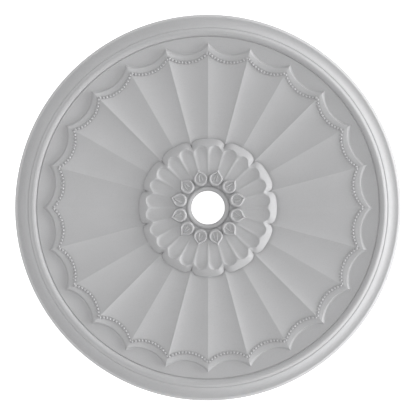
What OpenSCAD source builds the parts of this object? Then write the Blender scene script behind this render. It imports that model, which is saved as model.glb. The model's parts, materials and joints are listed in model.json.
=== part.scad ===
// Round moulded ceiling rose: a stepped rim, a scalloped disc with flutes, a flower of
// twelve petals with a bud between each pair, and a collar round the centre hole.
// It is one casting. It lies on its flat back, and Z points out of the moulded face.

/* [Overall] */
// Diameter over the outer rim
rose_d = 1066; // [960:1:1290]
// Diameter of the centre hole, which clears a ceiling box or a hook
hole_d = 92; // [74:1:112]
// Thickness of the casting at the flat background ring
field_t = 43; // [34:0.5:54]

/* [Rim] */
// How far the drafted side leans in from its foot to its top
side_lean = 5.5; // [3:0.5:12]
// Rounding where the side meets the fillet
edge_round = 4; // [1:0.5:6]
// Width of the flat fillet between the side and the cove
fillet_w = 1.5; // [0.5:0.5:6]
// Radius of the quarter-round cove
cove_r = 20; // [12:0.5:24]
// Width of the ledge between the cove and the groove
ledge_w = 4; // [1:0.5:8]
// Width of the thin groove beside the roll moulding
groove_w = 3; // [1.5:0.5:6]
// Depth of that groove
groove_depth = 2.5; // [0.5:0.5:4]
// Width of the roll moulding's steep outer side
roll_outer_w = 8; // [6:0.5:14]
// Width of the roll moulding's gentle inner side
roll_inner_w = 14; // [8:0.5:18]
// Height of the roll moulding's top above the ledge
roll_rise = 9; // [4:0.5:12]
// Height of the ledge above the background ring
ledge_rise = 1; // [0:0.5:4]
// Width over which the background curls up to the roll moulding
curl_w = 17; // [10:0.5:30]
// Height of that curl
curl_rise = 3; // [0.5:0.1:3]

/* [Scalloped disc] */
// Number of scallops, and of flutes
scallops = 24; // [20:2:30]
// Width of flat background between the curl and the scallop points
gap_w = 1; // [1:0.5:20]
// How far each scallop bites in from its points
scallop_bite = 28; // [16:0.5:34]
// Height of the disc's edge above the background, at the deepest point of a scallop
edge_rise = 5; // [2:0.5:8]
// Rise of the flutes' bottoms, for each millimetre out from the centre
flute_rise = 0.008; // [0:0.001:0.015]
// Depth of a flute below its arris, for each millimetre out from the centre
flute_fall = 0.0148; // [0.010:0.0002:0.018]

/* [Flower] */
// Number of petals, and of buds
petals = 12; // [10:1:14]
// Diameter over the petal ends
flower_d = 379; // [340:1:460]
// Depth of the notch between two petals
notch_depth = 12; // [8:0.5:20]
// Height of the petals above the background
petal_rise = 23; // [18:0.5:28]
// Width of the bevel round the petal ends
bevel_w = 22; // [14:0.5:26]
// Fall of that bevel
bevel_fall = 18; // [8:0.5:20]
// Depth of the hollows in the petals
hollow_depth = 5; // [2:0.5:7]
// Width of the ridge between two hollows at their outer ends
ridge_w = 6; // [4:0.5:12]

/* [Buds and collar] */
// Distance of a bud's centre from the centre of the rose
bud_ring_r = 84.5; // [80:0.5:96]
// Width of a bud
bud_w = 39; // [30:0.5:40]
// Length of a bud from its centre to its point
bud_tip = 24; // [22:0.5:30]
// Height of a bud above the petals
bud_rise = 2; // [1:0.5:6]
// Width of the raised outline of a bud
bud_rim_w = 4.5; // [3:0.5:7]
// Depth inside that outline
bud_sink = 4; // [2:0.5:6]
// Width of the ridge inside a bud
bud_rib_w = 5; // [3:0.5:8]
// Depth of the well that the buds stand in, below the petals
well_depth = 11; // [6:0.5:13]
// Width of the collar round the hole
collar_w = 12.5; // [10:0.5:18]
// Height of the collar above the floor of the well
collar_rise = 3; // [1:0.5:6]

/* [Hidden] */
$fn = 96;

root = 5;                 // how deep a raised form is rooted in the one below it
arc_steps = 8;            // straight steps in each curve of a moulding
flute_steps = 8;          // straight steps across one flute
petal_steps = 16;         // straight steps in the outline of one petal
foot_h = 3;               // height of the upright foot of the side
bud_steps = 20;           // straight steps in the round of a bud
rib_gap = 2;              // distance from the ends of a bud's rib to its raised outline
petal_square = 5;         // how square the petal ends are: 2 is round, more is squarer
hollow_start_depth = 1.5; // depth of a petal's hollow where it meets the buds
petal_lap = 4;            // how far the petals run in under the points of the buds
petal_rows = 8;           // rows of facets along a petal
lip_round = 4;            // rounding of the collar into the hole
collar_groove_w = 2;      // groove between the lip and the collar
collar_groove_d = 1;      // depth of that groove
collar_round = 2.5;       // rounding of the collar's outer edge
paint = "gainsboro";

rose_r = rose_d / 2;
hole_r = hole_d / 2;
flower_r = flower_d / 2;

// Heights, up from the back
ledge_z = field_t + ledge_rise;
roll_z = ledge_z + roll_rise;
fillet_z = ledge_z - cove_r;
curl_z = field_t + curl_rise;
petal_z = field_t + petal_rise;
well_z = petal_z - well_depth;
collar_z = well_z + collar_rise;
bud_z = petal_z + bud_rise;

// Radii, in from the rim
side_top_r = rose_r - side_lean;
cove_outer_r = side_top_r - edge_round - fillet_w;
ledge_r = cove_outer_r - cove_r;
groove_outer_r = ledge_r - ledge_w;
roll_outer_r = groove_outer_r - groove_w;
roll_top_r = roll_outer_r - roll_outer_w;
roll_inner_r = roll_top_r - roll_inner_w;
curl_inner_r = roll_inner_r - curl_w;
point_r = curl_inner_r - gap_w;
bite_r = point_r - scallop_bite;

// Each scallop is an arc through two points of the disc, hollow to the outside
half_a = 180 / scallops;
scallop_c = (point_r^2 - bite_r^2) / (2 * (point_r * cos(half_a) - bite_r));
scallop_r = scallop_c - bite_r;

// Every line of the flutes is straight and starts from one point on the axis
flute_z = field_t + edge_rise - flute_rise * bite_r;
disc_top_z = flute_z + (flute_rise + flute_fall) * point_r;

// The petals slope down a little from the bevel to the buds
hollow_end_r = flower_r - bevel_w;
petal_slope = (petal_z - well_z) / (hollow_end_r - bud_ring_r);

// A hollow has a round outer end, and narrows and gets shallower towards the buds
hollow_a = 90 / petals;
hollow_end_w = (hollow_end_r * sin(hollow_a) - ridge_w / 2) / (1 + sin(hollow_a));
hollow_end_c = hollow_end_r - hollow_end_w;
petal_start_r = bud_ring_r + bud_tip - petal_lap;

function arc(c, rx, ry, a0, a1) =
    [for (i = [0:arc_steps]) let (a = a0 + (a1 - a0) * i / arc_steps) c + [rx * cos(a), ry * sin(a)]];

// A curve that starts level at p and ends at q, getting steeper
function sweep_up(p, q) =
    [for (i = [0:arc_steps]) let (t = i / arc_steps) [p[0] + (q[0] - p[0]) * t, p[1] + (q[1] - p[1]) * t^2]];

function reversed(list) = [for (i = [len(list) - 1:-1:0]) list[i]];

// The rim, from the foot of its side in to the edge of the scalloped disc
module rim() {
    side = arc([side_top_r - edge_round, fillet_z - edge_round], edge_round, edge_round, 0, 90);
    cove = arc([cove_outer_r, ledge_z], cove_r, cove_r, 270, 180);
    groove = [[groove_outer_r, ledge_z], [roll_outer_r + groove_w / 2, ledge_z - groove_depth]];
    roll_outside = arc([roll_top_r, ledge_z], roll_outer_w, roll_rise, 0, 90);
    roll_inside = sweep_up([roll_top_r, roll_z], [roll_inner_r, curl_z]);
    curl = reversed(sweep_up([curl_inner_r, field_t], [roll_inner_r, curl_z]));
    inner_r = bite_r - root;
    rotate_extrude() polygon(concat(
        [[inner_r, 0], [rose_r, 0], [rose_r, foot_h]],
        side, cove, groove, roll_outside, roll_inside, curl,
        [[inner_r, field_t]]));
}

// Plan of the scalloped disc
module scallop_plan() {
    difference() {
        circle(scallop_c);
        for (i = [0:scallops - 1])
            rotate(360 / scallops * (i + 0.5)) translate([scallop_c, 0]) circle(scallop_r);
    }
}

// The fluted disc. The flutes run out to its scalloped edge, and their width and depth grow
// with the distance from the centre.
module fluted_disc() {
    steps = flute_steps * scallops;
    function slope(i) = flute_rise + flute_fall * (2 * (i % flute_steps) / flute_steps - 1)^2;
    rim_top = [for (i = [0:steps - 1]) let (a = 360 * i / steps)
        [rose_r * cos(a), rose_r * sin(a), flute_z + rose_r * slope(i)]];
    rim_foot = [for (p = rim_top) [p[0], p[1], 0]];
    points = concat([[0, 0, flute_z]], rim_top, rim_foot);
    tops = [for (i = [0:steps - 1]) [0, 1 + (i + 1) % steps, 1 + i]];
    sides = [for (i = [0:steps - 1]) let (j = (i + 1) % steps) [1 + i, 1 + j, 1 + steps + j, 1 + steps + i]];
    foot = [[for (i = [0:steps - 1]) 1 + steps + i]];
    intersection() {
        polyhedron(points, concat(tops, sides, foot));
        linear_extrude(disc_top_z + 1) scallop_plan();
    }
}

// Height of the petals at a distance r and an angle a from the middle of a petal
function petal_height(r, a) = let (
    cell = r * sin(hollow_a),
    off = cell * abs(abs(a / hollow_a) % 2 - 1),
    along = max(0, (r - hollow_end_c) / hollow_end_w),
    round_end = sqrt(max(0, 1 - along^2)),
    half_w = (cell - ridge_w / 2) * round_end,
    depth = lerp(hollow_start_depth, hollow_depth, (r - petal_start_r) / (hollow_end_c - petal_start_r)),
    dish = half_w > 0 ? max(0, 1 - (off / half_w)^2) : 0
) well_z + petal_slope * (r - bud_ring_r) - depth * dish * round_end;

function lerp(from, to, t) = from + (to - from) * min(1, max(0, t));

// Reach of the flower at an angle from the middle of a petal: nearly round ends, notched between
function petal_reach(a) = flower_r - notch_depth * (1 - abs(abs(a / hollow_a / 2) % 2 - 1))^petal_square;

// The ring of petals: rows of facets out to the bevel, then the bevel, the sides and the foot.
// Its facets start half a step round, so that none of their edges lies over one of the disc's.
module petal_ring() {
    steps = petal_steps * petals;
    angles = [for (i = [0:steps - 1]) 360 * (i + 0.5) / steps];
    span = hollow_end_r - petal_start_r;
    rows = [for (k = [0:petal_rows]) petal_start_r + span * sin(90 * k / petal_rows)];
    function at(r, a, z) = [r * cos(a), r * sin(a), z];
    relief = [for (r = rows) for (a = angles) at(r, a, petal_height(r, a))];
    bevel = [for (a = angles) let (r = petal_reach(a))
        at(r, a, petal_z - bevel_fall * (r - hollow_end_r) / bevel_w)];
    outer_foot = [for (a = angles) at(petal_reach(a), a, field_t - root)];
    inner_foot = [for (a = angles) at(petal_start_r, a, field_t - root)];
    rings = len(rows) + 3;
    faces = [for (k = [0:rings - 1]) for (i = [0:steps - 1])
        let (here = k * steps, next = ((k + 1) % rings) * steps, j = (i + 1) % steps)
        each [[here + i, next + j, next + i], [here + i, here + j, next + j]]];
    polyhedron(concat(relief, bevel, outer_foot, inner_foot), faces);
}

// Round heart of the flower: the collar, and the well that the buds stand in
module flower_heart() {
    collar_r = hole_r + collar_w;
    heart_r = petal_start_r + petal_lap;
    lip = arc([hole_r + lip_round, collar_z - lip_round], lip_round, lip_round, 180, 90);
    groove_r = hole_r + lip_round + collar_groove_w / 2;
    groove = [[groove_r, collar_z - collar_groove_d], [groove_r + collar_groove_w / 2, collar_z]];
    shoulder = arc([collar_r - collar_round, collar_z - collar_round], collar_round, collar_round, 90, 0);
    rotate_extrude() polygon(concat(
        [[hole_r - 1, field_t - root], [hole_r - 1, collar_z - lip_round]],
        lip, groove, shoulder,
        [[collar_r, well_z], [heart_r, well_z], [heart_r, field_t - root]]));
}

// A round bud drawn out to a point, with its outline brought in by inset
module bud_plan(inset) {
    r = bud_w / 2 - inset;
    tip = bud_tip * r / (bud_w / 2);
    side_a = acos(r / tip);
    turn = 360 - 2 * side_a;
    polygon(concat(
        [[tip, 0]],
        [for (i = [0:bud_steps]) let (a = side_a + turn * i / bud_steps) r * [cos(a), sin(a)]]));
}

// A bud: a raised outline, sunk inside, with a rib along the middle
module bud() {
    rib_half_l = bud_w / 2 - bud_rim_w - rib_gap;
    rib_r = (rib_half_l^2 + (bud_rib_w / 2)^2) / bud_rib_w;
    translate([bud_ring_r, 0, 0]) {
        difference() {
            translate([0, 0, well_z - root]) linear_extrude(bud_z - well_z + root) bud_plan(0);
            translate([0, 0, bud_z - bud_sink]) linear_extrude(bud_sink + 1) bud_plan(bud_rim_w);
        }
        translate([0, 0, well_z]) linear_extrude(petal_z - well_z) intersection() {
            translate([0, rib_r - bud_rib_w / 2]) circle(rib_r);
            translate([0, bud_rib_w / 2 - rib_r]) circle(rib_r);
        }
    }
}

module ceiling_rose() {
    color(paint) difference() {
        union() {
            rim();
            fluted_disc();
            petal_ring();
            flower_heart();
            for (i = [0:petals - 1]) rotate(360 / petals * (i + 0.5)) bud();
        }
        translate([0, 0, -1]) cylinder(h = bud_z + 2, r = hole_r);
    }
}

ceiling_rose();
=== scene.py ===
"""Looks of the round ceiling rose: one primed moulded casting, lying face up on a pale floor.

Every visible surface is a height z over the plan, worked out from the named sizes below.
Sizes are in millimetres and angles in degrees until a mesh is made. Lights and camera are in metres.
"""

import json
import math

import bpy
import numpy as np
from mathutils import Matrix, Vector


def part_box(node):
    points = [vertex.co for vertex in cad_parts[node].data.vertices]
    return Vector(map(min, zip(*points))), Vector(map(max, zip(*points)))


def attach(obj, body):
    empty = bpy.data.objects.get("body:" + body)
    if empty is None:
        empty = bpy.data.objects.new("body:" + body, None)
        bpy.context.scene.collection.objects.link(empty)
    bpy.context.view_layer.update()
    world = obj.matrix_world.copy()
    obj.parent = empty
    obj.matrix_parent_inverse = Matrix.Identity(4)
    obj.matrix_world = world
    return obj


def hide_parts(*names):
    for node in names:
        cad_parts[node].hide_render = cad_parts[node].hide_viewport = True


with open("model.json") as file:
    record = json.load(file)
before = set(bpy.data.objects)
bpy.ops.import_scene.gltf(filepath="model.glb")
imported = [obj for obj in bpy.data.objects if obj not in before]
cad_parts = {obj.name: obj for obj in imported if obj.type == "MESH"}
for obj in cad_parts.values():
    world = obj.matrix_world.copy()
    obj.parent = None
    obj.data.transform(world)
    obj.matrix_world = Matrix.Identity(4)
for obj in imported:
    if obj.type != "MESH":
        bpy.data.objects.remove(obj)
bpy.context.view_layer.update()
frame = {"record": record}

NODE = "ceiling_rose"
BODY = "root"
MM = 0.001

# Overall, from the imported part
lo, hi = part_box(NODE)
mounts = {mount["name"]: mount for mount in frame["record"]["mounts"]}
ROSE_R = (hi[0] - lo[0]) / 2 / MM
TOP_Z = hi[2] / MM
HOLE_R = mounts["centre_hole"]["dims"]["r_mm"]
FIELD_Z = 43.0  # the background ring, where it is level
INSET = 0.15  # how far the visible skin stays inside the CAD solid's outermost faces

# Rim, in from the outside
SIDE_LEAN = 5.5
SIDE_KNEE = (2.5, 11.0)  # where the side starts to lean more: distance out from its top, and height
FOOT_H = 3.0
EDGE_ROUND = 4.0
FILLET_W = 1.5
FILLET_Z = 24.0
ROLL_Z = 53.0
# The cove, a fine crease and the outer side of the roll: distance in from the fillet, and height
COVE = (
    (0.0, 24.0), (1.8, 24.1), (4.6, 24.5), (7.4, 25.2), (10.2, 26.4), (12.9, 28.2), (15.7, 31.2),
    (18.4, 35.4), (20.8, 39.8), (23.2, 43.4), (24.6, 44.4), (25.8, 44.5), (26.6, 44.1), (27.3, 45.0),
    (28.8, 47.2), (30.6, 49.4), (32.4, 51.3), (34.2, 52.5), (35.8, 52.9),
)
ROLL_TOP_W = 3.7  # nearly level
ROLL_INNER_W = 9.5  # steep
ROLL_INNER_POWER = 1.7  # higher for a steeper start and a rounder top
CREVICE_W = 2.2
CREVICE_DEPTH = 2.4
CREVICE_FLOOR_W = 0.8  # level part, beside the roll
ROLL_FOOT_W = 1.2  # from the crevice to where the roll's side starts
DISH_W = 46.0  # width of the background ring, which curves up to the roll
DISH_RISE = 3.6
DISH_POWER = 1.5
POINT_GAP = 18.0  # from the scallop points to the roll

# Scalloped disc
SCALLOPS = 24
PITCH = 360 / SCALLOPS
BITE = 28.0
EDGE_RISE = 5.0
EDGE_SPLAY = 0.7  # width of the disc's sloping edge, for each millimetre of its height
FLUTE_RISE = 0.008
# Slope across a flute at u from its middle (0) to its arris (1): a*u + b*u**3 degrees
FLUTE_STEEP_SIDE = (9.4, 8.1)
FLUTE_GENTLE_SIDE = (11.5, -3.1)
BEADS = 13  # for each scallop
BEAD_R = 3.7
BEAD_LIFT = 2.4  # height of their middles over the bed
BEAD_ROOT = 1.6  # how deep they are rooted
BEAD_BED_W = 6.0  # half the width of the shallow channel that the beads lie in
BEAD_BED_DEPTH = 2.0
BEAD_LANE_W = 1.6 * BEAD_BED_W  # half the width that is sampled closely
BEAD_LINE_C = 490.0  # centre of the arc that the beads of a scallop follow, from the axis
BEAD_LINE_R = 86.4

# Flower
PETALS = 12
FLOWER_R = 189.5
NOTCH = 12.0
PETAL_SQUARE = 5  # higher for squarer petals
BEVEL_FOOT_Z = 47.5
BEVEL_STEEP = 1.15  # slope of the petal's edge at its outline
BEVEL_EASE = 0.0145  # how much of that slope goes, for half a millimetre further in
BEVEL_REACH = 30.0  # how far in it goes on easing
BEVEL_BLEND = 0.9
PETAL_START_R = 107.0
RIDGE_START_Z = 58.8
RIDGE_SLOPE = 0.046
RIDGE_W = 4.0
SPUR_RISE = 4.5  # how much further the ridges rise behind the petals' edges
SPUR_R = (143.0, 168.0)  # from where to where they do
HOLLOW_START_Z = 57.8
HOLLOW_SLOPE = 0.017
HOLLOW_END_R = 175.0
HOLLOW_SQUARE = 5  # higher for a flatter floor and steeper walls
SLIT_W = 1.3
SLIT_DEPTH = 4.5
SLIT_R = (161.0, 177.0)  # from where to where the slit deepens
CHANNEL_W = 4.5  # how fast the shallow channel round the flower runs out
CHANNEL_DEPTH = 3.0

# Buds, well and collar
BUD_RING_R = 84.5
# from a bud's middle: to its inner end, half its width, where its point starts, and to its tip
BUD_FOOT = (-24.2, 20.4, 5.5, 24.8)
BUD_CREST = (-18.6, 15.9, 3.5, 19.2)
BUD_TIP_SLOPE = -0.45  # slope of the outline at the tip, in plan
BUD_TOP_Z = TOP_Z - INSET
BUD_MIDDLE_DEPTH = 4.0
RIB_HIGH = (3.8, 2.2)  # height and half width of the taller rib inside a bud
RIB_LOW = (3.0, 1.8)
RIB_SPREAD = 5.0  # half the distance between their far ends
COLLAR_CREST_R = 54.0
COLLAR_OUTER_R = 60.3
COLLAR_Z = 58.0
COLLAR_LIP_FALL = 5.8  # from the crest to the hole
COLLAR_STEP = 0.6  # at the foot of the collar
WELL_R = 66.0  # where the petals start to rise from the well
WELL_TOP_R = 95.0
GAP_Z = 51.5  # the well, between the buds and the collar

# Lights: name, azimuth from +X, elevation, spread in degrees, and strength
LIGHTS = [
    ("grazing", 0, 2, 30, 3.2),
    ("key", 0, 10, 30, 0.75),
    ("key_left", 45, 8, 30, 1.1),
    ("key_right", -45, 8, 30, 1.1),
    ("back", 180, 8, 30, 0.68),
    ("top", 0, 90, 30, 1.2),
]
WORLD_LIGHT = 0.445
FLOOR_GLOW = 0.7
FLOOR_HALF = 60.0
FLOOR_BELOW = 0.0005

# Camera, straight above the rose
CAMERA_HEIGHT = 30.0
CAMERA_SHIFT_Y = -0.001
SHOWN_WIDTH = 1.1488  # what the picture covers at the floor
SENSOR_MM = 36.0

side_top_r = ROSE_R - SIDE_LEAN
cove_outer_r = side_top_r - EDGE_ROUND - FILLET_W
roll_inner_r = cove_outer_r - COVE[-1][0] - ROLL_TOP_W - ROLL_INNER_W
point_r = roll_inner_r - POINT_GAP
bite_r = point_r - BITE

half_pitch = math.radians(PITCH / 2)
scallop_c = (point_r**2 - bite_r**2) / (2 * (point_r * math.cos(half_pitch) - bite_r))
scallop_r = scallop_c - bite_r
flute_z = FIELD_Z + EDGE_RISE - FLUTE_RISE * bite_r


def smoothstep(x):
    x = np.clip(x, 0, 1)
    return x * x * (3 - 2 * x)


def ramp(x, start_end):
    """Smooth rise from 0 to 1 between two places."""
    start, end = start_end
    return smoothstep((x - start) / (end - start))


def soft_min(a, b, k):
    """The lower of a and b, rounded where they cross over about k."""
    h = np.clip(0.5 + 0.5 * (b - a) / k, 0, 1)
    return b + (a - b) * h - k * h * (1 - h)


def bump_across(x, width):
    return np.exp(-((x / width) ** 2))


def from_middle(angle, period):
    """Angle from the nearest multiple of the period."""
    return (angle + period / 2) % period - period / 2


def circle_near_side(angle, centre, radius):
    """Where a circle centred between two scallop points is nearest the axis."""
    off = np.radians(from_middle(angle - PITCH / 2, PITCH))
    reach = np.maximum(radius**2 - (centre * np.sin(off)) ** 2, 0)
    return centre * np.cos(off) - np.sqrt(reach)


def flute_profile(side):
    """Height over radius across half a flute, from its bottom to its arris."""
    u = np.linspace(0, 1, 101)
    slope = np.tan(np.radians(side[0] * u + side[1] * u**3))
    step = half_pitch / (len(u) - 1)
    return u, np.concatenate([[0], np.cumsum((slope[1:] + slope[:-1]) / 2)]) * step


STEEP_PROFILE = flute_profile(FLUTE_STEEP_SIDE)
GENTLE_PROFILE = flute_profile(FLUTE_GENTLE_SIDE)


def flute_height(r, angle):
    off = from_middle(angle - PITCH / 2, PITCH) / (PITCH / 2)
    # arrises lie at multiples of the pitch, steep ones and gentle ones in turn
    index = np.floor(angle / PITCH).astype(int)
    ahead_is_steep = index % 2 == 0
    to_steep = np.where(ahead_is_steep, off > 0, off < 0)
    fall = np.where(
        to_steep, np.interp(np.abs(off), *STEEP_PROFILE), np.interp(np.abs(off), *GENTLE_PROFILE)
    )
    return flute_z + r * (FLUTE_RISE + fall)


def petal_reach(angle):
    u = np.abs(from_middle(angle, 360 / PETALS)) / (180 / PETALS)
    return FLOWER_R - NOTCH * u**PETAL_SQUARE


# the outline of one petal and of half of each neighbour
OUTLINE_A = np.linspace(-30, 60, 1801)
OUTLINE = petal_reach(OUTLINE_A)[:, None] * np.stack(
    [np.cos(np.radians(OUTLINE_A)), np.sin(np.radians(OUTLINE_A))], axis=1
)


def distance_to_outline(r, angle):
    """Distance in plan from points of the flower to its outline. The flower repeats each petal."""
    a = np.radians(angle % (360 / PETALS))
    p = np.stack([r * np.cos(a), r * np.sin(a)], axis=-1)
    gap = p[:, None, :] - OUTLINE[None, :, :]
    return np.sqrt((gap**2).sum(axis=2).min(axis=1))


def field_height(r):
    """The background ring: level by the deepest scallops, curving up to the roll."""
    t = np.clip((r - roll_inner_r + DISH_W) / DISH_W, 0, 1)
    return FIELD_Z + DISH_RISE * t**DISH_POWER


def hollow_depth(r, angle, full_depth):
    """Depth of the flat hollows, two to a petal, which have round ends and thin ridges between."""
    half_a = 90 / PETALS
    sine = math.sin(math.radians(half_a))
    ridge_half = RIDGE_W / 2 * (0.4 + 0.6 * ramp(r, (100, 170)))
    end_w = (HOLLOW_END_R * sine - RIDGE_W / 2) / (1 + sine)
    end_c = HOLLOW_END_R - end_w
    off = r * np.sin(np.radians(np.abs(from_middle(angle - half_a, 2 * half_a))))
    side = off / (np.minimum(r, end_c) * sine - ridge_half)
    along = np.maximum(r - end_c, 0) / end_w
    e = np.sqrt(side**2 + along**2)
    return full_depth * np.clip(1 - e**HOLLOW_SQUARE, 0, 1)


def petal_height(r, angle, near):
    """Petals with hollows, a sloping edge, and a slit between petals."""
    ridge = RIDGE_START_Z + RIDGE_SLOPE * (r - PETAL_START_R) + SPUR_RISE * ramp(r, SPUR_R)
    floor = HOLLOW_START_Z + HOLLOW_SLOPE * (r - PETAL_START_R)
    hollow = hollow_depth(r, angle, np.maximum(ridge - floor, 0))
    inset = np.minimum(near, BEVEL_REACH)
    bevel = BEVEL_FOOT_Z + BEVEL_STEEP * inset - BEVEL_EASE * inset**2 + np.maximum(near - BEVEL_REACH, 0)
    off_slit = r * np.sin(np.radians(np.abs(from_middle(angle - 180 / PETALS, 360 / PETALS))))
    slit = SLIT_DEPTH * ramp(r, SLIT_R) * bump_across(off_slit, SLIT_W)
    return soft_min(ridge - hollow, bevel, BEVEL_BLEND) - slit


def angles_round():
    """Samples round the axis, close together at each arris and slit."""
    half = [0, 0.1, 0.25, 0.5, 0.9, 1.5, 2.3, 3.2, 4.1, 5.0, 5.9, 6.7]
    period = half + [PITCH / 2] + [PITCH - h for h in reversed(half[1:])]
    return np.concatenate([k * PITCH + np.array(period) for k in range(SCALLOPS)])


def arc(cx, cz, radius, a0, a1, steps):
    a = np.radians(np.linspace(a0, a1, steps + 1))
    return [(cx + radius * c, cz + radius * s) for c, s in zip(np.cos(a), np.sin(a))]


def level_rows(profile, n):
    """Rows of n points each, from a profile that is the same all round."""
    return [(np.full(n, r), np.full(n, z)) for r, z in profile]


def rows_inside(n):
    """The bore and the collar, from the back edge of the hole out to the well."""
    hole = HOLE_R + INSET
    profile = [(hole, z) for z in (0.0, 0.6, 20.0, 40.0, 50.0)]
    profile.append((hole + 0.15, 51.4))
    for t in np.linspace(0, 1, 8)[1:]:
        r = hole + (COLLAR_CREST_R - hole) * t
        profile.append((r, COLLAR_Z - COLLAR_LIP_FALL * (1 - t) ** 2))
    for t in np.linspace(0, 1, 9)[1:]:
        r = COLLAR_CREST_R + (COLLAR_OUTER_R - COLLAR_CREST_R) * t
        profile.append((r, COLLAR_Z - (COLLAR_Z - GAP_Z - COLLAR_STEP) * t**2.1))
    profile += [(COLLAR_OUTER_R + 0.4, GAP_Z), (COLLAR_OUTER_R + 2.5, GAP_Z)]
    return level_rows(profile, n)


def rows_flower(angles):
    """The petals, from the well out to the outline and down their side."""
    rows = []
    # rows lie closer together where the hollows end and at the outline
    nominal = np.concatenate(
        [np.linspace(WELL_R, 146, 24), np.linspace(148, 186, 27), np.linspace(186.6, FLOWER_R, 5)]
    )
    reach = petal_reach(angles)
    for r0 in nominal:
        r = r0 - (FLOWER_R - reach) * ramp(r0, (130, FLOWER_R))
        z = petal_height(r, angles, distance_to_outline(r, angles))
        rows.append((r, GAP_Z + (z - GAP_Z) * ramp(r, (WELL_R, WELL_TOP_R))))
    edge_z = rows[-1][1]
    foot = reach + 0.5
    foot_z = flute_height(foot, angles) - CHANNEL_DEPTH
    # down the side, which is nearly upright
    rows.append((reach + 0.25, edge_z - 0.8))
    rows.append((reach + 0.35, foot_z + 0.5))
    rows.append((foot, foot_z + 0.05))
    return rows


def bed_depth(r, angle):
    """Depth of the channel that the beads lie in."""
    off = (r - circle_near_side(angle, BEAD_LINE_C, BEAD_LINE_R)) / BEAD_BED_W
    return BEAD_BED_DEPTH * np.exp(-(off**2) * 2)


def rows_flutes(angles):
    """The disc from the flower out, its sloping edge, and the background ring."""
    start = petal_reach(angles) + 1.2
    edge = circle_near_side(angles, scallop_c, scallop_r)
    line = circle_near_side(angles, BEAD_LINE_C, BEAD_LINE_R)
    off = np.radians(from_middle(angles - PITCH / 2, PITCH))
    # angle between the edge's normal and the radius
    turn = np.arcsin(np.clip(edge * np.abs(np.sin(off)) / scallop_r, 0, 1)) + np.abs(off)
    rise = flute_height(edge, angles) - field_height(edge)
    top = edge - EDGE_SPLAY * rise / np.cos(turn)
    lane = np.minimum(BEAD_LANE_W, (top - line) * 0.9)
    rows = []
    for out in (0.0, 1.2, 2.6, 4.4, 7.0, 11.0):
        r = start + out
        rows.append((r, flute_height(r, angles) - CHANNEL_DEPTH * np.exp(-out / CHANNEL_W)))
    for t in np.linspace(0, 1, 9)[1:-1]:
        r = start + (line - BEAD_LANE_W - start) * t
        rows.append((r, flute_height(r, angles)))
    for t in np.linspace(-1, 1, 13):
        r = line + t * (BEAD_LANE_W if t < 0 else lane)
        rows.append((r, flute_height(r, angles) - bed_depth(r, angles)))
    for t in (0.3, 0.65, 1):
        r = line + lane + (top - line - lane) * t
        rows.append((r, flute_height(r, angles)))
    # the sloping edge, rounded where it meets the disc: shares of the way out and of the way down
    top_z = rows[-1][1]
    foot_z = field_height(edge)
    for t, drop in ((0.1, 0.03), (0.22, 0.13), (0.5, 0.45), (0.8, 0.8), (0.95, 0.98), (1, 1)):
        r = top + (edge - top) * t
        rows.append((r, top_z - (top_z - foot_z) * drop))
    for t in np.linspace(0, 1, 13)[1:]:
        r = edge + (roll_inner_r - CREVICE_W - edge) * t
        rows.append((r, field_height(r)))
    return rows


def rows_rim(n):
    """The crevice, the roll, the cove, and the side down to the back."""
    dish_z = FIELD_Z + DISH_RISE
    crevice_z = dish_z - CREVICE_DEPTH
    profile = [(roll_inner_r, crevice_z), (roll_inner_r + CREVICE_FLOOR_W, crevice_z)]
    for t in np.linspace(0, 1, 10):
        rise = 1 - (1 - t) ** ROLL_INNER_POWER
        r = roll_inner_r + ROLL_FOOT_W + (ROLL_INNER_W - ROLL_FOOT_W) * t
        profile.append((r, dish_z + (ROLL_Z - 0.5 - dish_z) * rise))
    profile.append((roll_inner_r + ROLL_INNER_W + ROLL_TOP_W / 2, ROLL_Z - 0.1))
    profile += [(cove_outer_r - inward, z) for inward, z in reversed(COVE)]
    profile.append((cove_outer_r + FILLET_W, FILLET_Z))
    profile += arc(side_top_r - EDGE_ROUND, FILLET_Z - EDGE_ROUND, EDGE_ROUND, 90, 0, 6)[1:]
    foot_r = ROSE_R - INSET
    profile += [(side_top_r + SIDE_KNEE[0], SIDE_KNEE[1]), (foot_r - 0.3, FOOT_H + 0.8)]
    profile += [(foot_r, FOOT_H), (foot_r, 0.5), (foot_r - 0.5, 0.0)]
    return level_rows(profile, n)


def mesh_object(name, vertices, faces):
    mesh = bpy.data.meshes.new(name)
    mesh.from_pydata((np.asarray(vertices) * MM).tolist(), [], faces)
    mesh.validate()
    mesh.shade_smooth()
    mesh.set_sharp_from_angle(angle=math.radians(42))
    obj = bpy.data.objects.new(name, mesh)
    bpy.context.scene.collection.objects.link(obj)
    return obj


def make_casting():
    """The whole face, rim and back as one closed skin of rings round the axis."""
    angles = angles_round()
    n = len(angles)
    rows = rows_inside(n) + rows_flower(angles) + rows_flutes(angles) + rows_rim(n)
    cos, sin = np.cos(np.radians(angles)), np.sin(np.radians(angles))
    points = np.concatenate([np.stack([r * cos, r * sin, z], axis=1) for r, z in rows])
    faces = []
    for k in range(len(rows)):
        here, out = k * n, (k + 1) % len(rows) * n
        for i in range(n):
            j = (i + 1) % n
            faces.append((here + i, out + i, out + j, here + j))
    return mesh_object("casting_face", points, faces)


def closed_rings(first, levels, n):
    """Faces of a solid made of rings, from a flat end below to one last point on top."""
    faces = []
    for level in range(levels - 1):
        for i in range(n):
            j = (i + 1) % n
            a, b = first + level * n, first + (level + 1) * n
            faces.append((a + i, a + j, b + j, b + i))
    last, top = first + (levels - 1) * n, first + levels * n
    faces += [(last + i, last + (i + 1) % n, top) for i in range(n)]
    faces.append(tuple(first + i for i in reversed(range(n))))
    return faces


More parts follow.
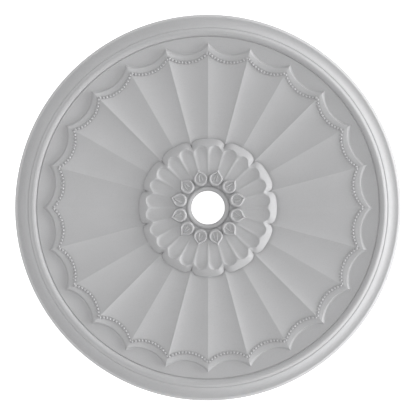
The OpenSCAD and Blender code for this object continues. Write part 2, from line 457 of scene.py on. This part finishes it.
def bead_places():
    """Centres of the beads, evenly spaced along an arc inside each scallop."""
    middle = math.radians(PITCH / 2)
    # half the angle of the arc, from the middle of the scallop to the radius through its point
    half_turn = math.asin(BEAD_LINE_C * math.sin(middle) / BEAD_LINE_R) - middle
    places = []
    for k in range(SCALLOPS):
        axis = math.radians(k * PITCH) + middle
        for i in range(BEADS):
            turn = half_turn * ((2 * i + 1) / BEADS - 1)
            x = BEAD_LINE_C - BEAD_LINE_R * math.cos(turn)
            y = BEAD_LINE_R * math.sin(turn)
            places.append((math.hypot(x, y), math.degrees(axis + math.atan2(y, x))))
    return places


def make_beading():
    """Round beads, each on a short stalk rooted in the channel, and all nearly the same size."""
    segments = 16
    turn = np.radians(np.arange(segments) * 360 / segments)
    vertices, faces = [], []
    rng = np.random.default_rng(24)
    for r, angle in bead_places():
        place = np.array(r), np.array(angle % 360)
        base = float(flute_height(*place) - bed_depth(*place))
        cx, cy = r * math.cos(math.radians(angle)), r * math.sin(math.radians(angle))
        size = BEAD_R * (1 + rng.normal(0, 0.02))
        # share of the bead's radius, and height over the bed
        levels = [(1.0, -BEAD_ROOT), (1.0, 0.0), (1.0, BEAD_LIFT)]
        for a in np.radians(np.linspace(18, 78, 4)):
            levels.append((math.cos(a), BEAD_LIFT + size * math.sin(a)))
        faces += closed_rings(len(vertices), len(levels), segments)
        for width, z in levels:
            for t in turn:
                vertices.append((cx + size * width * math.cos(t), cy + size * width * math.sin(t), base + z))
        vertices.append((cx, cy, base + BEAD_LIFT + size))
    return mesh_object("beading", vertices, faces)


def bud_outline(sizes, n):
    """Plan of a bud: a round drawn out to an ogee point along +X. Points are evenly spaced."""
    back, half_w, join_x, tip = sizes
    middle = back + half_w
    start = math.acos((join_x - middle) / half_w)
    round_a = np.linspace(start, math.pi, 160)
    circle = np.stack([middle + half_w * np.cos(round_a), half_w * np.sin(round_a)], axis=1)
    join_y = half_w * math.sin(start)
    join_slope = -(join_x - middle) / join_y
    t = np.linspace(0, 1, 80)
    span = tip - join_x
    y = (
        (2 * t**3 - 3 * t**2 + 1) * join_y
        + (t**3 - 2 * t**2 + t) * span * join_slope
        + (t**3 - t**2) * span * BUD_TIP_SLOPE
    )
    ogee = np.stack([join_x + span * t, y], axis=1)[::-1]
    half = np.concatenate([ogee, circle[1:]])
    length = np.concatenate([[0], np.cumsum(np.hypot(*np.diff(half, axis=0).T))])
    at = np.linspace(0, length[-1], n // 2 + 1)
    upper = np.stack([np.interp(at, length, half[:, i]) for i in (0, 1)], axis=1)
    lower = upper[1:-1][::-1] * [1, -1]
    return np.concatenate([upper, lower])


def bud_rib(x, y):
    """Height of the two ribs inside a bud, which part from its point like a flame."""
    ends = smoothstep((x + 13) / 5) * smoothstep((13 - x) / 4)
    spread = RIB_SPREAD * np.sqrt(np.clip((10 - x) / 21, 0, 1))
    high = RIB_HIGH[0] * bump_across(y - spread, RIB_HIGH[1])
    low = RIB_LOW[0] * bump_across(y + spread, RIB_LOW[1])
    return float(np.maximum(high, low) * ends)


def bud_levels(n):
    """Rings of a bud as plan, depth below its top, and whether the ribs lie on it."""
    foot, crest = bud_outline(BUD_FOOT, n), bud_outline(BUD_CREST, n)
    # share of the way from the foot to the raised outline, and depth below it
    flank = (
        (0.0, 16.0), (0.0, 10.5), (0.05, 9.0), (0.13, 7.2), (0.24, 5.4), (0.36, 3.9),
        (0.5, 2.5), (0.64, 1.4), (0.78, 0.6), (0.9, 0.15), (1.0, 0.0),
    )
    # share of the raised outline's size, and depth below it
    inner_slope = ((0.94, 0.4), (0.87, 1.4), (0.8, 2.7), (0.72, 3.8))
    floor = (
        (0.64, 4.3), (0.56, 4.4), (0.48, 4.3), (0.4, 4.2),
        (0.32, 4.1), (0.24, 4.1), (0.16, 4.0), (0.08, 4.0),
    )
    levels = [(foot + (crest - foot) * share, depth, False) for share, depth in flank]
    levels += [(crest * share, depth, False) for share, depth in inner_slope]
    levels += [(crest * share, depth, True) for share, depth in floor]
    return levels


def make_buds():
    """Buds between the petals, left- and right-handed in turn, each with its ribs a little off centre."""
    n = 72
    levels = bud_levels(n)
    vertices, faces = [], []
    rng = np.random.default_rng(12)
    for k in range(PETALS):
        axis = math.radians((k + 0.5) * 360 / PETALS)
        hand = 1 if k % 2 else -1
        shift = rng.normal(0, 0.4)
        faces += closed_rings(len(vertices), len(levels), n)
        points = []
        for outline, depth, ribbed in levels:
            for x, y in outline:
                lift = bud_rib(x, hand * y + shift) if ribbed else 0.0
                points.append((x, y, BUD_TOP_Z - depth + lift))
        points.append((0.0, 0.0, BUD_TOP_Z - BUD_MIDDLE_DEPTH + bud_rib(0.0, shift)))
        for x, y, z in points:
            px = BUD_RING_R + x
            vertices.append(
                (px * math.cos(axis) - y * math.sin(axis), px * math.sin(axis) + y * math.cos(axis), z)
            )
    return mesh_object("buds", vertices, faces)


def node(tree, kind, **inputs):
    made = tree.nodes.new(kind)
    for name, value in inputs.items():
        made.inputs[name.replace("_", " ")].default_value = value
    return made


def two_tone(tree, low, high):
    """Colour ramp between two stops, each a position and a colour."""
    made = tree.nodes.new("ShaderNodeValToRGB")
    for element, (position, colour) in zip(made.color_ramp.elements, (low, high)):
        element.position = position
        element.color = (*colour, 1)
    return made


def primed_finish():
    """Factory primer on a moulded casting: nearly even grey-white, a fine grain and faint mottling."""
    material = bpy.data.materials.new("primed_casting")
    material.use_nodes = True
    tree = material.node_tree
    tree.nodes.clear()
    link = tree.links.new
    out = tree.nodes.new("ShaderNodeOutputMaterial")
    shader = node(tree, "ShaderNodeBsdfPrincipled", Metallic=0.0, IOR=1.45, Specular_IOR_Level=0.2)
    link(shader.outputs["BSDF"], out.inputs["Surface"])
    place = tree.nodes.new("ShaderNodeTexCoord")

    mottle = node(tree, "ShaderNodeTexNoise", Scale=9.0, Detail=5.0, Roughness=0.6)
    speck = node(tree, "ShaderNodeTexNoise", Scale=420.0, Detail=3.0, Roughness=0.65)
    grain = node(tree, "ShaderNodeTexNoise", Scale=900.0, Detail=2.0, Roughness=0.5)
    for texture in (mottle, speck, grain):
        link(place.outputs["Object"], texture.inputs["Vector"])

    tone = two_tone(tree, (0.3, (0.405, 0.405, 0.411)), (0.7, (0.425, 0.425, 0.432)))
    link(mottle.outputs["Fac"], tone.inputs["Fac"])
    dots = two_tone(tree, (0.32, (0.93, 0.93, 0.93)), (0.5, (1, 1, 1)))
    link(speck.outputs["Fac"], dots.inputs["Fac"])
    mix = tree.nodes.new("ShaderNodeMix")
    mix.data_type = "RGBA"
    mix.blend_type = "MULTIPLY"
    mix.inputs["Factor"].default_value = 1.0
    link(tone.outputs["Color"], mix.inputs[6])
    link(dots.outputs["Color"], mix.inputs[7])
    link(mix.outputs[2], shader.inputs["Base Color"])

    rough = node(tree, "ShaderNodeMapRange", From_Min=0.3, From_Max=0.7, To_Min=0.62, To_Max=0.78)
    link(mottle.outputs["Fac"], rough.inputs["Value"])
    link(rough.outputs["Result"], shader.inputs["Roughness"])
    bump = node(tree, "ShaderNodeBump", Strength=0.12, Distance=0.0002)
    link(grain.outputs["Fac"], bump.inputs["Height"])
    link(bump.outputs["Normal"], shader.inputs["Normal"])
    return material


def floor_finish():
    """White floor that also glows a little, so that it stays pale under low lights."""
    material = bpy.data.materials.new("pale_floor")
    material.use_nodes = True
    shader = material.node_tree.nodes["Principled BSDF"]
    shader.inputs["Base Color"].default_value = (0.8, 0.8, 0.8, 1)
    shader.inputs["Roughness"].default_value = 0.9
    shader.inputs["Emission Color"].default_value = (1, 1, 1, 1)
    shader.inputs["Emission Strength"].default_value = FLOOR_GLOW
    return material


def soft_light(name, azimuth, elevation, spread, strength):
    """A large distant light, spread over that many degrees."""
    data = bpy.data.lights.new(name, "SUN")
    data.angle = math.radians(spread)
    data.energy = strength
    distance = 4.0
    a, e = math.radians(azimuth), math.radians(elevation)
    spot = Vector((math.cos(e) * math.cos(a), math.cos(e) * math.sin(a), math.sin(e))) * distance
    light = bpy.data.objects.new(name, data)
    light.location = spot
    light.rotation_euler = (-spot).to_track_quat("-Z", "Y").to_euler()
    bpy.context.scene.collection.objects.link(light)


def make_floor():
    mesh = bpy.data.meshes.new("floor")
    signs = ((-1, -1), (1, -1), (1, 1), (-1, 1))
    corners = [(FLOOR_HALF * x, FLOOR_HALF * y, -FLOOR_BELOW) for x, y in signs]
    mesh.from_pydata(corners, [], [(0, 1, 2, 3)])
    mesh.materials.append(floor_finish())
    floor = bpy.data.objects.new("floor", mesh)
    bpy.context.scene.collection.objects.link(floor)


def make_lights():
    world = bpy.data.worlds.new("studio")
    bpy.context.scene.world = world
    world.use_nodes = True
    background = world.node_tree.nodes["Background"]
    background.inputs["Color"].default_value = (1, 1, 1, 1)
    background.inputs["Strength"].default_value = WORLD_LIGHT
    for light in LIGHTS:
        soft_light(*light)


def make_camera():
    data = bpy.data.cameras.new("camera")
    data.sensor_width = SENSOR_MM
    data.lens = SENSOR_MM * CAMERA_HEIGHT / SHOWN_WIDTH
    data.dof.use_dof = False
    data.clip_end = 100.0
    camera = bpy.data.objects.new("camera", data)
    camera.location = (0, CAMERA_SHIFT_Y, CAMERA_HEIGHT)
    bpy.context.scene.collection.objects.link(camera)
    bpy.context.scene.camera = camera


def main():
    finish = primed_finish()
    for piece in (make_casting(), make_beading(), make_buds()):
        piece.data.materials.append(finish)
        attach(piece, BODY)
        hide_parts(NODE)
    make_floor()
    make_lights()
    make_camera()
    bpy.context.scene.view_settings.view_transform = "Standard"


main()
